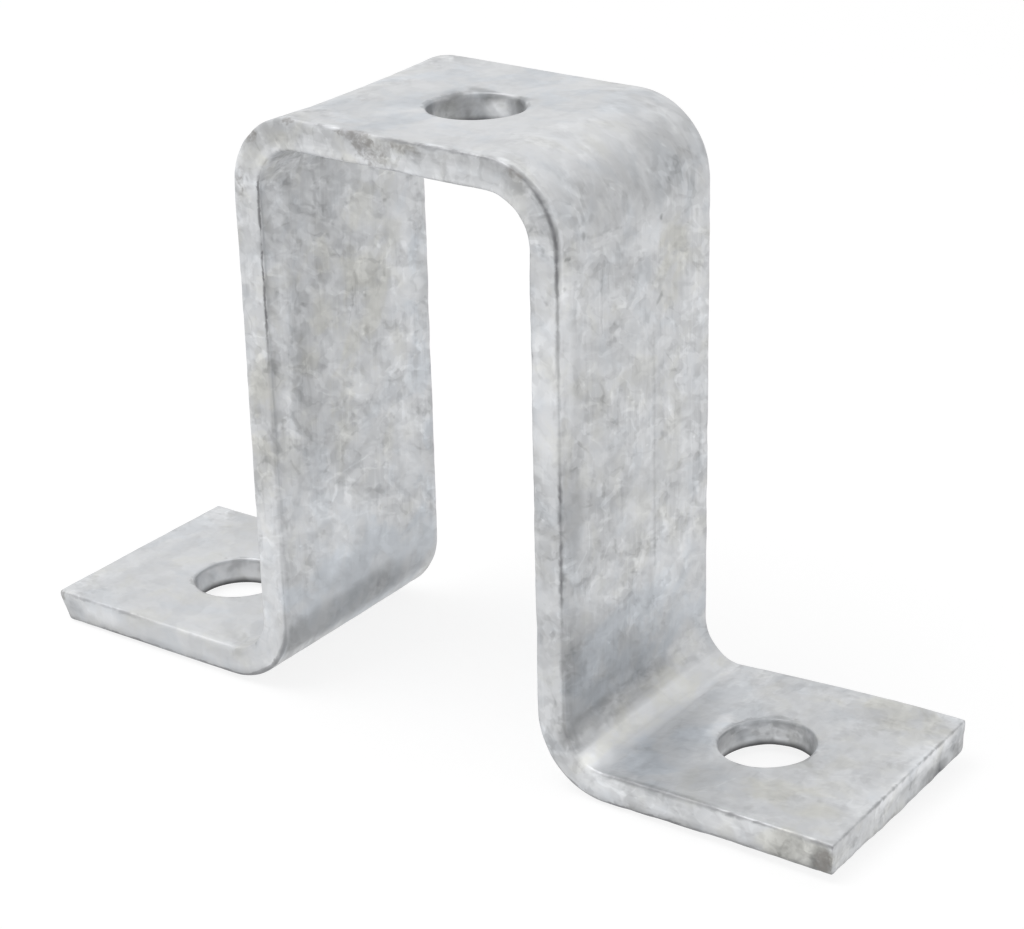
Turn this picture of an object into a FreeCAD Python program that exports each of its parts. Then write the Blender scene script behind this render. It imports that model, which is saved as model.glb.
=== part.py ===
import FreeCAD, Part
import math
import os

import Sketcher
from FreeCAD import Vector

# A hat-shaped bracket: one length of rolled flat bar, cropped at both ends, punched with three
# bolt holes and bent four times. X runs from foot to foot, Y across the bar and Z up. The origin
# is on the ground, midway between the feet and under the middle of the crown.

# Driving dimensions in millimetres: alias, size and meaning
DIMENSIONS = (
    ("bar_width", 40.0, "width of the flat bar"),
    ("bar_thickness", 5.0, "thickness of the flat bar"),
    ("corner_radius", 0.75, "rounding of the long corners of the rolled bar"),
    ("overall_height", 95.5, "underside of the feet to the top of the crown"),
    ("inside_width", 47.5, "clear width between the legs"),
    ("foot_length", 45.0, "outer face of a leg to the end of its foot"),
    ("bend_radius", 7.0, "inside radius of the four bends"),
    ("hole_diameter", 14.5, "clearance hole for a 12 mm bolt"),
    ("foot_hole_offset", 22.5, "outer face of a leg to the middle of the hole in its foot"),
    ("punch_rounding", 0.6, "upper rim of a hole, drawn in where the punch entered"),
    ("crop_lean", 2.0, "how far the shear set in the underside of the left end"),
    ("edge_break", 0.3, "bevel of the holes' lower rims and rounding of the right end"),
)
NODE_NAME = "bracket"
NEAR = 1e-3  # how closely an edge has to lie to the place where it is looked for
CLOSE = 0.02  # how closely a feature has to change the volume by what it should, as a share

# The points of a sketch element, and the sketch's X axis and origin, as constraints number them
START, END, CENTRE = 1, 2, 3
X_AXIS = -1
ORIGIN = (X_AXIS, START)

# Distances that several features share, as expressions on the spreadsheet. The bend line runs
# in the middle of the bar's thickness.
LEG_OUTSIDE = "(Sizes.inside_width / 2 + Sizes.bar_thickness)"
FOOT_END = f"({LEG_OUTSIDE} + Sizes.foot_length)"
FOOT_HOLE = f"({LEG_OUTSIDE} + Sizes.foot_hole_offset)"
MID_FOOT = "(Sizes.bar_thickness / 2)"
MID_CROWN = f"(Sizes.overall_height - {MID_FOOT})"
MID_LEG = f"({LEG_OUTSIDE} - {MID_FOOT})"
MID_RADIUS = f"(Sizes.bend_radius + {MID_FOOT})"

doc = FreeCAD.newDocument("UShapedBracket")
sheet = doc.addObject("Spreadsheet::Sheet", "Sizes")
for row, (alias, size, meaning) in enumerate(DIMENSIONS, start=1):
    sheet.set(f"A{row}", meaning)
    sheet.set(f"B{row}", str(size))
    sheet.setAlias(f"B{row}", alias)
doc.recompute()

body = doc.addObject("PartDesign::Body", "Bracket")
body.Label = NODE_NAME


def millimetres(expression):
    """The value of an expression on the spreadsheet."""
    return float(sheet.evalExpression(expression))


# Sketches


def add_sketch(name, role, **offset):
    """A sketch on the body's origin plane of that role, moved along its axes by expressions."""
    plane = next(item for item in body.Origin.OriginFeatures if item.Role == role)
    sketch = body.newObject("Sketcher::SketchObject", name)
    sketch.AttachmentSupport = [(plane, "")]
    sketch.MapMode = "FlatFace"
    for axis, expression in offset.items():
        sketch.setExpression(f"AttachmentOffset.Base.{axis}", expression)
    return sketch


def constrain(sketch, kind, *where):
    sketch.addConstraint(Sketcher.Constraint(kind, *where))


def dimension(sketch, kind, *where, size):
    """A dimension whose value follows an expression on the spreadsheet."""
    index = sketch.addConstraint(Sketcher.Constraint(kind, *where, millimetres(size)))
    sketch.setExpression(f"Constraints[{index}]", size)


def add_runs(sketch, corners):
    """Lines from corner to corner, kept level or upright where they are drawn so. They close
    where the last corner is the first one again."""
    runs = []
    for (x1, y1), (x2, y2) in zip(corners, corners[1:]):
        run = sketch.addGeometry(Part.LineSegment(Vector(x1, y1, 0), Vector(x2, y2, 0)))
        if y1 == y2:
            constrain(sketch, "Horizontal", run)
        if x1 == x2:
            constrain(sketch, "Vertical", run)
        if runs:
            constrain(sketch, "Coincident", runs[-1], END, run, START)
        runs.append(run)
    if corners[0] == corners[-1]:
        constrain(sketch, "Coincident", runs[-1], END, runs[0], START)
    return runs


def round_off(sketch, runs, radius):
    """Rounds the far end of each run where it meets the next one, all to the same radius."""
    first_arc = sketch.GeometryCount
    for run in runs:
        sketch.fillet(run, END, millimetres(radius))
    for arc in range(first_arc + 1, sketch.GeometryCount):
        constrain(sketch, "Equal", first_arc, arc)
    dimension(sketch, "Radius", first_arc, size=radius)


def add_rim(sketch, x):
    """The rim of a bolt hole that lies on the sketch's X axis."""
    centre = Vector(x, 0, 0)
    radius = millimetres("Sizes.hole_diameter") / 2
    rim = sketch.addGeometry(Part.Circle(centre, Vector(0, 0, 1), radius))
    dimension(sketch, "Diameter", rim, size="Sizes.hole_diameter")
    return rim


def finish_sketch(sketch):
    """Solves a sketch, in which nothing may conflict and nothing may be left loose."""
    doc.recompute()
    if sketch.solve() != 0 or not sketch.FullyConstrained:
        raise RuntimeError(f"{sketch.Name} isn't fully constrained")
    return sketch


def draw_section():
    """The bar's section, a rectangle with rounded corners, at the end of the left foot."""
    sketch = add_sketch("BarSection", "YZ_Plane", y=MID_FOOT, z=f"-{FOOT_END}")
    side = millimetres("Sizes.bar_width / 2")
    face = millimetres(MID_FOOT)
    corners = [(-side, -face), (side, -face), (side, face), (-side, face)]
    runs = add_runs(sketch, corners + corners[:1])
    lower, right, upper, left = runs
    round_off(sketch, runs, "Sizes.corner_radius")
    constrain(sketch, "Symmetric", lower, START, upper, START, *ORIGIN)
    dimension(sketch, "DistanceX", left, END, right, START, size="Sizes.bar_width")
    dimension(sketch, "DistanceY", lower, END, upper, START, size="Sizes.bar_thickness")
    return finish_sketch(sketch)


def draw_bend_line():
    """The line that the bar follows: foot, leg, crown, leg and foot, with an arc at each bend."""
    sketch = add_sketch("BendLine", "XZ_Plane")
    end, leg = millimetres(FOOT_END), millimetres(MID_LEG)
    low, high = millimetres(MID_FOOT), millimetres(MID_CROWN)
    corners = [(-end, low), (-leg, low), (-leg, high), (leg, high), (leg, low), (end, low)]
    runs = add_runs(sketch, corners)
    left_foot, left_leg, crown, right_leg, right_foot = runs
    round_off(sketch, runs[:-1], MID_RADIUS)
    dimension(sketch, "DistanceX", left_foot, START, *ORIGIN, size=FOOT_END)
    dimension(sketch, "DistanceX", *ORIGIN, right_foot, END, size=FOOT_END)
    dimension(sketch, "DistanceX", left_leg, START, *ORIGIN, size=MID_LEG)
    dimension(sketch, "DistanceX", *ORIGIN, right_leg, START, size=MID_LEG)
    dimension(sketch, "DistanceY", *ORIGIN, left_foot, START, size=MID_FOOT)
    dimension(sketch, "DistanceY", *ORIGIN, right_foot, END, size=MID_FOOT)
    dimension(sketch, "DistanceY", *ORIGIN, crown, START, size=MID_CROWN)
    return finish_sketch(sketch)


def draw_crop_line():
    """The wedge that the shear takes off the left end's underside, seen from the side."""
    sketch = add_sketch("CropLine", "XZ_Plane")
    end = -millimetres(FOOT_END)
    top = millimetres("Sizes.bar_thickness")
    set_in = end + millimetres("Sizes.crop_lean")
    corners = [(end, top), (set_in, 0), (end, 0)]
    shear, underside, _ = add_runs(sketch, corners + corners[:1])
    constrain(sketch, "PointOnObject", underside, END, X_AXIS)
    dimension(sketch, "DistanceX", shear, START, *ORIGIN, size=FOOT_END)
    dimension(sketch, "DistanceY", *ORIGIN, shear, START, size="Sizes.bar_thickness")
    dimension(sketch, "DistanceX", shear, START, shear, END, size="Sizes.crop_lean")
    return finish_sketch(sketch)


def draw_crown_rim():
    """The rim of the hole in the middle of the crown."""
    sketch = add_sketch("CrownRim", "XY_Plane", z="Sizes.overall_height")
    constrain(sketch, "Coincident", add_rim(sketch, 0), CENTRE, *ORIGIN)
    return finish_sketch(sketch)


def draw_foot_rims():
    """The rims of the holes in the two feet."""
    sketch = add_sketch("FootRims", "XY_Plane", z="Sizes.bar_thickness")
    left = add_rim(sketch, -millimetres(FOOT_HOLE))
    right = add_rim(sketch, millimetres(FOOT_HOLE))
    for rim in (left, right):
        constrain(sketch, "PointOnObject", rim, CENTRE, X_AXIS)
    dimension(sketch, "DistanceX", left, CENTRE, *ORIGIN, size=FOOT_HOLE)
    dimension(sketch, "DistanceX", *ORIGIN, right, CENTRE, size=FOOT_HOLE)
    return finish_sketch(sketch)


# Features, each of which works on what the body is before it


def check_volume(name, found, expected):
    """Catches a feature that points away from the bar, which would change nothing."""
    if abs(found - expected) > CLOSE * expected:
        raise RuntimeError(f"{name} changed the volume by {found:.1f}, not {expected:.1f}")


def bend_bar():
    """The whole bar, its section carried along the bend line."""
    section = draw_section()
    bend_line = draw_bend_line()
    bar = body.newObject("PartDesign::AdditivePipe", "BentBar")
    bar.Profile = section
    bar.Spine = (bend_line, [])
    bar.Mode = "Frenet"
    doc.recompute()
    expected = Part.Face(section.Shape).Area * bend_line.Shape.Length
    check_volume(bar.Name, bar.Shape.Volume, expected)


def crop_left_end():
    """The left end as the shear left it, with its upper edge standing out."""
    before = body.Shape.Volume
    crop = body.newObject("PartDesign::Pocket", "LeftCrop")
    crop.Profile = draw_crop_line()
    crop.Type = "ThroughAll"
    crop.SideType = "Symmetric"
    doc.recompute()
    wedge = millimetres("Sizes.crop_lean * Sizes.bar_thickness / 2 * Sizes.bar_width")
    check_volume(crop.Name, before - body.Shape.Volume, wedge)


def punch_holes(name, rims):
    """Bolt holes punched straight down from their rims."""
    before = body.Shape.Volume
    holes = body.newObject("PartDesign::Hole", name)
    holes.Profile = rims
    doc.recompute()
    holes.DepthType = "ThroughAll"
    holes.setExpression("Diameter", "Sizes.hole_diameter")
    doc.recompute()
    slug = math.pi * millimetres("Sizes.hole_diameter ^ 2 / 4 * Sizes.bar_thickness")
    check_volume(name, before - body.Shape.Volume, rims.GeometryCount * slug)


def rims_at(heights):
    """The names of the body's round edges that lie flat at one of the heights."""
    names = []
    for number, edge in enumerate(body.Shape.Edges, start=1):
        if not isinstance(edge.Curve, Part.Circle) or not edge.isClosed():
            continue
        if any(abs(edge.Curve.Center.z - height) < NEAR for height in heights):
            names.append(f"Edge{number}")
    return names


def right_end():
    """The name of the body's face at the end of the right foot."""
    end = millimetres(FOOT_END)
    return [
        f"Face{number}"
        for number, face in enumerate(body.Shape.Faces, start=1)
        if abs(face.CenterOfMass.x - end) < NEAR
    ]


def break_edges(kind, name, elements, measure, size):
    """Rounds or bevels edges, or all the edges of a face, as the kind of feature says."""
    base = body.Tip
    feature = body.newObject(f"PartDesign::{kind}", name)
    feature.Base = (base, elements)
    feature.setExpression(measure, size)
    doc.recompute()


bend_bar()
crop_left_end()
punch_holes("CrownHole", draw_crown_rim())
punch_holes("FootHoles", draw_foot_rims())
top = millimetres("Sizes.overall_height")
thickness = millimetres("Sizes.bar_thickness")
upper_rims = rims_at((thickness, top))
break_edges("Fillet", "UpperRims", upper_rims, "Radius", "Sizes.punch_rounding")
lower_rims = rims_at((0, top - thickness))
break_edges("Chamfer", "LowerRims", lower_rims, "Size", "Sizes.edge_break")
break_edges("Fillet", "RightEnd", right_end(), "Radius", "Sizes.edge_break")

for item in doc.Objects:
    if "Invalid" in item.State or "Error" in item.State:
        raise RuntimeError(f"{item.Label} failed: {item.State}")
shape = body.Shape
if shape.isNull() or not shape.isValid() or len(shape.Solids) != 1:
    raise RuntimeError(f"{body.Label} isn't one sound solid")

os.makedirs("parts", exist_ok=True)
shape.exportStep(f"parts/{body.Label}.step")
print(f"{body.Label}: {shape.Volume:.1f} cubic mm, {len(shape.Faces)} faces")
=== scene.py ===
"""The look of the u-shaped bracket: one bent, punched and galvanised steel bar in a plain studio."""

import math
from typing import NamedTuple

import bmesh
import bpy
import numpy as np
from mathutils import Matrix, Vector, noise


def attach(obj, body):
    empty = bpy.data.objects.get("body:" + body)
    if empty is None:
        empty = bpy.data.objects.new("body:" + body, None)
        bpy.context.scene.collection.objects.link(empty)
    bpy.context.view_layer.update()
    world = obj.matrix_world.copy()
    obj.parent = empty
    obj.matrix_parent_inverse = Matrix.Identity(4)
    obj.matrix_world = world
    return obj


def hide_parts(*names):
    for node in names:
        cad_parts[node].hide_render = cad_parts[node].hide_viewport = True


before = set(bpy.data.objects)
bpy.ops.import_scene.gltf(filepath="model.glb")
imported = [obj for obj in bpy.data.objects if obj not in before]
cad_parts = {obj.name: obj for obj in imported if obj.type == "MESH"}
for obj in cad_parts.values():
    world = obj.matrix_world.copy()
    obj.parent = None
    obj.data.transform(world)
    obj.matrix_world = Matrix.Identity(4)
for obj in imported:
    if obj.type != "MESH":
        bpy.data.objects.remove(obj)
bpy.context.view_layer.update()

# Sizes of the bar in millimetres, as in the part's source
METRES = 0.001
BAR_WIDTH = 40.0
BAR_THICKNESS = 5.0
CORNER_RADIUS = 0.75
OVERALL_HEIGHT = 95.5
INSIDE_WIDTH = 47.5
FOOT_LENGTH = 45.0
BEND_RADIUS = 7.0
HOLE_RADIUS = 7.25
FOOT_HOLE_OFFSET = 22.5
PUNCH_ROUNDING = 0.6
EDGE_BREAK = 0.3

HALF_WIDTH = BAR_WIDTH / 2
HALF_THICKNESS = BAR_THICKNESS / 2
MID_RADIUS = BEND_RADIUS + HALF_THICKNESS
MID_CROWN = OVERALL_HEIGHT - HALF_THICKNESS
MID_LEG = INSIDE_WIDTH / 2 + HALF_THICKNESS

# Places along the bar's middle line, from the middle of the crown to the end of a foot
QUARTER_TURN = math.pi / 2
BEND_LENGTH = MID_RADIUS * QUARTER_TURN
LEG_LENGTH = MID_CROWN - HALF_THICKNESS - 2 * MID_RADIUS
CROWN_END = MID_LEG - MID_RADIUS
LEG_START = CROWN_END + BEND_LENGTH
LEG_END = LEG_START + LEG_LENGTH
FOOT_START = LEG_END + BEND_LENGTH
BAR_END = FOOT_START + HALF_THICKNESS + FOOT_LENGTH - MID_RADIUS
FOOT_HOLE_ALONG = FOOT_START + HALF_THICKNESS + FOOT_HOLE_OFFSET - MID_RADIUS

# How this one bracket departs from the nominal shape, in millimetres, never outside its box
CROWN_HOLE_SHIFT = 1.2
LEFT_LEAN = 2.3
LEFT_BACK_SHORT = 0.8
RIGHT_FRONT_SHORT = 0.45
RIGHT_BURR = 0.35
RIGHT_CORNER_WEAR = 0.15
LEFT_BEND_HOLLOW = 0.45
LEFT_FOOT_DROOP = 0.45
LEFT_FOOT_TWIST = 0.4
RIGHT_FOOT_RISE = 1.1
RIGHT_FOOT_TWIST = 1.3
LIFTED_BEND = 4.0
SHEARED_LENGTH = 10.0
RAGGED_LENGTH = 2.5
WORN_WIDTH = 1.6

# Where the right end's burr starts and is full, down the end and across it
BURR_START_DOWN = 0.6
BURR_START_ACROSS = -14.0
BURR_FULL_ACROSS = -2.0

# How deep the surface is drawn in round the holes, how far out, and from where to where across
LEFT_DISH = 0.3
CROWN_DISH = 0.22
RIGHT_DISH = 0.45
DISH_WIDTH = 2.6
DISH_START = -6.0
DISH_FULL = 4.0

# Number of mesh cells over each stretch, all close to 0.6 mm
CROWN_CELLS = 28
BEND_CELLS = 26
LEG_CELLS = 120
FOOT_CELLS = 63
WIDTH_CELLS = 64
SIDE_CELLS = 6

# Number of mesh cells round the corners, the ends' edges and the holes
CORNER_CELLS = 4
EDGE_CELLS = 3
HOLE_BLOCK = 36
HOLE_RINGS = 7
WALL_CELLS = 7
LOWER_RIM_CELLS = 2

# Points round the section, the first on the underside, and the first of a hole's block
LOOP = 2 * WIDTH_CELLS + 2 * SIDE_CELLS + 4 * CORNER_CELLS
UNDERSIDE = WIDTH_CELLS + SIDE_CELLS + 2 * CORNER_CELLS
BLOCK_COLUMN = (WIDTH_CELLS - HOLE_BLOCK) // 2


def place_along():
    """Where the mesh has its rows, from the middle of the crown to the start of the end's rounding."""
    stops = (CROWN_END, LEG_START, LEG_END, FOOT_START, BAR_END - EDGE_BREAK)
    counts = (CROWN_CELLS, BEND_CELLS, LEG_CELLS, BEND_CELLS, FOOT_CELLS)
    rows = [0.0]
    for stop, cells in zip(stops, counts):
        rows.extend(np.linspace(rows[-1], stop, cells + 1)[1:])
    return np.array(rows)


def section(inset):
    """Points round the bar's section as (across, above) pairs, drawn in by an inset."""
    half_flat = HALF_WIDTH - CORNER_RADIUS
    half_side = HALF_THICKNESS - CORNER_RADIUS
    radius = CORNER_RADIUS - inset
    turns = np.linspace(0, QUARTER_TURN, CORNER_CELLS + 1)
    front_top = np.array([-half_flat, half_side])
    back_top = np.array([half_flat, half_side])
    flats = [
        (front_top, back_top, QUARTER_TURN, WIDTH_CELLS),
        (back_top, -front_top, 0, SIDE_CELLS),
        (-front_top, -back_top, -QUARTER_TURN, WIDTH_CELLS),
        (-back_top, front_top, math.pi, SIDE_CELLS),
    ]
    points = []
    for start, stop, angle, cells in flats:
        outward = radius * np.array([math.cos(angle), math.sin(angle)])
        for share in np.arange(cells) / cells:
            points.append(start + (stop - start) * share + outward)
        for turn in turns[:-1]:
            points.append(stop + radius * np.array([math.cos(angle - turn), math.sin(angle - turn)]))
    return np.array(points)


def bar_rows():
    """All rows of the straight bar, and how far each is drawn in, with the rounding of both ends."""
    half = place_along()
    turns = np.linspace(0, QUARTER_TURN, EDGE_CELLS + 1)[1:]
    end_rows = BAR_END - EDGE_BREAK + EDGE_BREAK * np.sin(turns)
    end_insets = EDGE_BREAK * (1 - np.cos(turns))
    rows = np.concatenate([-end_rows[::-1], -half[::-1], half[1:], end_rows])
    insets = np.concatenate([end_insets[::-1], np.zeros(2 * len(half) - 1), end_insets])
    return rows, insets


def between(share, first, last):
    """The place at a share of the way from the first to the last."""
    return (1 - share) * first + share * last


class BarMesh:
    """Gathers the points and faces of the straight bar."""

    def __init__(self):
        rows, insets = bar_rows()
        self.rows = rows
        grid = np.empty((len(rows), LOOP, 3))
        for index, (along, inset) in enumerate(zip(rows, insets)):
            grid[index, :, 0] = along
            grid[index, :, 1:] = section(inset)
        self.points = list(grid.reshape(-1, 3))
        self.faces = []
        self.holes = [-FOOT_HOLE_ALONG, CROWN_HOLE_SHIFT, FOOT_HOLE_ALONG]
        self.blocks = [self.block_start(hole) for hole in self.holes]
        self.add_skin()
        for hole, block in zip(self.holes, self.blocks):
            self.add_hole(hole, block)
        self.add_cap(0)
        self.add_cap(len(rows) - 1)

    def at(self, row, column):
        """The number of the point at a row and a column, counted on round the section."""
        return row * LOOP + column % LOOP

    def block_start(self, hole):
        """The first row of the square block of cells that a hole takes up."""
        nearest = int(np.argmin(np.abs(self.rows - hole)))
        return nearest - HOLE_BLOCK // 2

    def add_skin(self):
        """The bar's long faces, left open over the blocks of the holes."""
        upper = set(range(BLOCK_COLUMN, BLOCK_COLUMN + HOLE_BLOCK))
        open_columns = upper | {UNDERSIDE + column for column in upper}
        open_rows = {block + step for block in self.blocks for step in range(HOLE_BLOCK)}
        for row in range(len(self.rows) - 1):
            for column in range(LOOP):
                if row in open_rows and column in open_columns:
                    continue
                here = [self.at(row, column), self.at(row, column + 1)]
                beyond = [self.at(row + 1, column + 1), self.at(row + 1, column)]
                self.faces.append(here + beyond)

    def block_edge(self, block, underside):
        """The points round the square that a hole's rings fill, in the same order above and below."""
        steps = [(step, 0) for step in range(HOLE_BLOCK)]
        steps += [(HOLE_BLOCK, step) for step in range(HOLE_BLOCK)]
        steps += [(HOLE_BLOCK - step, HOLE_BLOCK) for step in range(HOLE_BLOCK)]
        steps += [(0, HOLE_BLOCK - step) for step in range(HOLE_BLOCK)]
        edge = []
        for down, side in steps:
            column = BLOCK_COLUMN + side
            if underside:
                column = UNDERSIDE + WIDTH_CELLS - column
            edge.append(self.at(block + down, column))
        return edge

    def add_hole(self, hole, block):
        """Rings from the block's upper edge to the hole, down its wall and out again below."""
        upper_edge = self.block_edge(block, False)
        lower_edge = self.block_edge(block, True)
        centre = np.array([hole, 0.0])
        outward = np.array([self.points[index][:2] for index in upper_edge]) - centre
        reach = np.linalg.norm(outward, axis=1)
        outward /= reach[:, None]
        upper_rim = HOLE_RADIUS + PUNCH_ROUNDING
        lower_rim = HOLE_RADIUS + EDGE_BREAK
        rings = []
        for share in np.linspace(0, 1, HOLE_RINGS + 1)[1:]:
            rings.append((reach + (upper_rim - reach) * share, HALF_THICKNESS))
        for turn in np.linspace(0, QUARTER_TURN, CORNER_CELLS + 1)[1:]:
            radius = upper_rim - PUNCH_ROUNDING * math.sin(turn)
            rings.append((radius, HALF_THICKNESS - PUNCH_ROUNDING * (1 - math.cos(turn))))
        wall_top = HALF_THICKNESS - PUNCH_ROUNDING
        wall_bottom = EDGE_BREAK - HALF_THICKNESS
        for above in np.linspace(wall_top, wall_bottom, WALL_CELLS + 1)[1:]:
            rings.append((HOLE_RADIUS, above))
        for turn in np.linspace(0, QUARTER_TURN, LOWER_RIM_CELLS + 1)[1:]:
            radius = lower_rim - EDGE_BREAK * math.cos(turn)
            rings.append((radius, wall_bottom - EDGE_BREAK * math.sin(turn)))
        for share in np.linspace(0, 1, HOLE_RINGS + 1)[1:-1]:
            rings.append((lower_rim + (reach - lower_rim) * share, -HALF_THICKNESS))
        loops = [upper_edge]
        count = len(upper_edge)
        for radius, above in rings:
            start = len(self.points)
            places = centre + outward * np.broadcast_to(radius, count)[:, None]
            self.points.extend(np.array([*place, above]) for place in places)
            loops.append(range(start, start + count))
        loops.append(lower_edge)
        for outside, inside in zip(loops[:-1], loops[1:]):
            for index in range(count):
                after = (index + 1) % count
                self.faces.append([outside[index], outside[after], inside[after], inside[index]])

    def add_cap(self, row):
        """Closes an end with a grid that joins the opposite sides of the section."""
        side = SIDE_CELLS + 2 * CORNER_CELLS
        numbers = np.empty((side + 1, WIDTH_CELLS + 1), int)
        numbers[0] = [self.at(row, column) for column in range(WIDTH_CELLS + 1)]
        last = UNDERSIDE + WIDTH_CELLS
        numbers[-1] = [self.at(row, last - column) for column in range(WIDTH_CELLS + 1)]
        numbers[:, 0] = [self.at(row, -step) for step in range(side + 1)]
        numbers[:, -1] = [self.at(row, WIDTH_CELLS + step) for step in range(side + 1)]

        def point(step, column):
            return self.points[numbers[step, column]]

        for step in range(1, side):
            down = step / side
            for column in range(1, WIDTH_CELLS):
                over = column / WIDTH_CELLS
                flats = between(down, point(0, column), point(-1, column))
                sides = between(over, point(step, 0), point(step, -1))
                top_corners = between(over, point(0, 0), point(0, -1))
                low_corners = between(over, point(-1, 0), point(-1, -1))
                numbers[step, column] = len(self.points)
                self.points.append(flats + sides - between(down, top_corners, low_corners))
        here = [numbers[:-1, :-1], numbers[:-1, 1:]]
        beyond = [numbers[1:, 1:], numbers[1:, :-1]]
        self.faces.extend(np.stack(here + beyond, axis=-1).reshape(-1, 4).tolist())


def clean_arrays(builder):
    """The points that faces use, and the faces renumbered for them."""
    used, faces = np.unique(np.array(builder.faces), return_inverse=True)
    return np.array(builder.points)[used], faces.reshape(-1, 4)


def facing_outward(points, faces):
    """The mesh of the straight bar, with every face turned outward."""
    mesh = bpy.data.meshes.new("bent_bar")
    mesh.from_pydata(points.tolist(), [], faces.tolist())
    work = bmesh.new()
    work.from_mesh(mesh)
    bmesh.ops.recalc_face_normals(work, faces=work.faces)
    work.to_mesh(mesh)
    work.free()
    return mesh


def ramp(values, low, high):
    """A smooth rise from nought to one between two limits."""
    share = np.clip((values - low) / (high - low), 0, 1)
    return share * share * (3 - 2 * share)


def bend(bar):
    """Carries points of the straight bar, as (along, across, above) rows, to the bent one."""
    along, across, above = bar.T
    run = np.abs(along)
    upper_turn = np.clip((run - CROWN_END) / MID_RADIUS, 0, QUARTER_TURN)
    lower_turn = np.clip((run - LEG_END) / MID_RADIUS, 0, QUARTER_TURN)
    on_crown = np.minimum(run, CROWN_END)
    on_leg = np.clip(run - LEG_START, 0, LEG_LENGTH)
    on_foot = np.maximum(run - FOOT_START, 0)
    out = on_crown + MID_RADIUS * (np.sin(upper_turn) + 1 - np.cos(lower_turn)) + on_foot
    up = MID_CROWN - MID_RADIUS * (1 - np.cos(upper_turn) + np.sin(lower_turn)) - on_leg
    heading = upper_turn - lower_turn
    out = out + above * np.sin(heading)
    up = up + above * np.cos(heading)
    return np.stack([out * np.sign(along), across, up + settle(along, across)], axis=1)


def settle(along, across):
    """How far each place is lifted: a drooping left foot, a raised right one and a hollow bend."""
    run = np.abs(along)
    back = (across + HALF_WIDTH) / BAR_WIDTH
    down_the_leg = np.clip((run - LEG_START) / LEG_LENGTH, 0, 1)
    out_the_foot = np.clip((run - FOOT_START) / (BAR_END - FOOT_START), 0, 1)
    lift_start = FOOT_START - LIFTED_BEND
    lift = np.sin(QUARTER_TURN * np.clip((run - lift_start) / (BAR_END - lift_start), 0, 1))
    left = LEFT_FOOT_DROOP * (down_the_leg - out_the_foot) + LEFT_FOOT_TWIST * back * lift
    right = (RIGHT_FOOT_RISE + RIGHT_FOOT_TWIST * back) * lift
    to_the_left = np.clip((CROWN_END - along) / (2 * CROWN_END), 0, 1) * (1 - down_the_leg)
    inward = 1 - (across / HALF_WIDTH) ** 2
    return np.where(along < 0, left, right) - LEFT_BEND_HOLLOW * inward * to_the_left


def shear_ends(points):
    """Shapes the ends as the shear left them: the left one leaning, the right one with a burr below."""
    sheared = points.copy()
    along, across, above = points.T
    low = (HALF_THICKNESS - above) / BAR_THICKNESS
    back = (across + HALF_WIDTH) / BAR_WIDTH
    left_end = np.clip((-along - (BAR_END - SHEARED_LENGTH)) / SHEARED_LENGTH, 0, 1)
    right_end = np.clip((along - (BAR_END - SHEARED_LENGTH)) / SHEARED_LENGTH, 0, 1)
    ragged = ramp(along, BAR_END - RAGGED_LENGTH, BAR_END)
    wear = RIGHT_CORNER_WEAR * ramp(across, HALF_WIDTH - WORN_WIDTH, HALF_WIDTH)
    burr_across = ramp(across, BURR_START_ACROSS, BURR_FULL_ACROSS)
    burr = RIGHT_BURR * ramp(low, BURR_START_DOWN, 1.0) * burr_across
    sheared[:, 0] += left_end * (LEFT_LEAN * low + LEFT_BACK_SHORT * back)
    sheared[:, 0] -= right_end * RIGHT_FRONT_SHORT * (1 - back) + ragged * wear
    sheared[:, 2] -= ragged * burr
    return sheared


# How one noise is moved off another, as shares of its shift along the bar
SHIFT_ACROSS = 0.37
SHIFT_ABOVE = 0.71

# How deep a patch goes, how sharp its edge is, how uneven, and over what length
PATCH_DEPTH = 1.2
SOFT = 3.0
UNEVENNESS = 1.5
WOBBLE_LENGTH = 4.0
WOBBLE_SHIFT = 29.0


def noise_at(points, length, shift):
    """Smooth noise between about -1 and 1 that changes over a length in millimetres."""
    offset = Vector((shift, shift * SHIFT_ACROSS, shift * SHIFT_ABOVE))
    return np.array([noise.noise(Vector(point) / length + offset) for point in points])


class Patch(NamedTuple):
    """A patch of the surface, in millimetres of the straight bar, its edge soft or sharp."""

    place: tuple
    reach: tuple
    strength: float
    sharpness: float = SOFT


def outer(along, across, reach_along, reach_across, strength, sharpness=SOFT):
    """A patch on the crown's top, the legs' outsides or the feet's tops."""
    reach = (reach_along, reach_across, PATCH_DEPTH)
    return Patch((along, across, HALF_THICKNESS), reach, strength, sharpness)


def inner(along, across, reach_along, reach_across, strength):
    """A patch on the crown's underside, the legs' insides or the feet's undersides."""
    return Patch((along, across, -HALF_THICKNESS), (reach_along, reach_across, PATCH_DEPTH), strength)


def flank(along, above, reach_along, reach_above, strength):
    """A patch on the bar's front edge."""
    return Patch((along, -HALF_WIDTH, above), (reach_along, PATCH_DEPTH, reach_above), strength)


def end_face(across, above, reach_across, reach_above, strength):
    """A patch on the right foot's sheared end."""
    return Patch((BAR_END, across, above), (PATCH_DEPTH, reach_across, reach_above), strength)


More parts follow.
